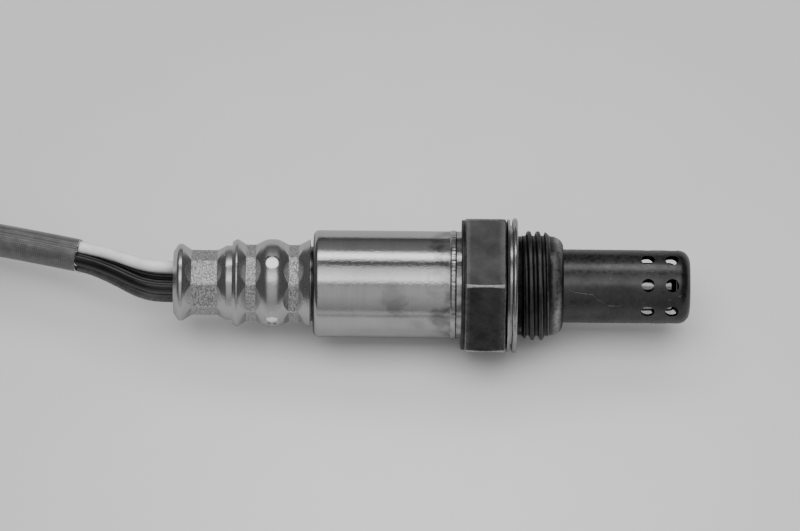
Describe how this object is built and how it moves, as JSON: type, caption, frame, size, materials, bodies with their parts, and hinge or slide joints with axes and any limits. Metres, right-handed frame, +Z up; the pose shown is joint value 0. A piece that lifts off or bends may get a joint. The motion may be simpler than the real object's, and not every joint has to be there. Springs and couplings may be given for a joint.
{
  "type": "oxygen sensor",
  "caption": "Heated exhaust oxygen sensor: hexagon body with thread and gasket, perforated protector, vented crimped cover, leads in a woven sleeve and a sealed connector.",
  "frame": {"origin": "on the sensor's axis at the gasket's sealing face", "axes": "+X along the axis towards the protector's tip, +Z up with the sensor lying on its side, one flat of the hexagon facing down"},
  "size_m": [0.3041, 0.0423, 0.0224],
  "materials": {
    "body_steel": "forged steel, darkened by heat",
    "gasket_steel": "folded bright steel",
    "protector_steel": "stainless sheet, oxidised dark",
    "inner_protector_steel": "bright stainless sheet",
    "cover_steel": "bright drawn stainless sheet",
    "zirconia": "sintered ceramic, white",
    "ceramic": "pressed ceramic, off-white",
    "talc": "pressed powder",
    "packing_metal": "bright metal",
    "contact_metal": "nickel-plated spring strip",
    "filter_white": "porous white sheet",
    "bush_rubber": "black moulded rubber",
    "lead_white": "white insulation",
    "lead_black": "black insulation",
    "lead_grey": "dark grey insulation",
    "sleeve_weave": "woven glass sleeve, varnished",
    "tie": "flat ribbon tie",
    "connector_plastic": "dark grey moulded plastic",
    "pin_metal": "tinned blades",
    "seal_rubber": "grey moulded rubber"
  },
  "bodies": {
    "root": {"housing": "body_steel", "gasket": "gasket_steel", "outer_protector": "protector_steel", "inner_protector": "inner_protector_steel", "sensing_element": "zirconia", "heater_rod": "ceramic", "lower_packing": "packing_metal", "talc_seal": "talc", "ceramic_ring": "ceramic", "crimp_ring": "packing_metal", "outer_contact": "contact_metal", "inner_contact": "contact_metal", "heater_contact_a": "contact_metal", "heater_contact_b": "contact_metal", "terminal_insulator": "ceramic", "insulator_spring": "contact_metal", "main_cover": "cover_steel", "vent_filter": "filter_white", "filter_cover": "cover_steel", "cable_bush": "bush_rubber", "lead_white": "lead_white", "lead_black_a": "lead_black", "lead_black_b": "lead_black", "lead_grey": "lead_grey", "sleeve": "sleeve_weave", "sleeve_hank": "sleeve_weave", "hank_tie": "tie", "tail_white": "lead_white", "tail_black_a": "lead_black", "tail_black_b": "lead_black", "tail_grey": "lead_grey", "connector_housing": "connector_plastic", "connector_pins": "pin_metal", "connector_seal": "seal_rubber", "connector_retainer": "connector_plastic"}
  },
  "joints": []
}
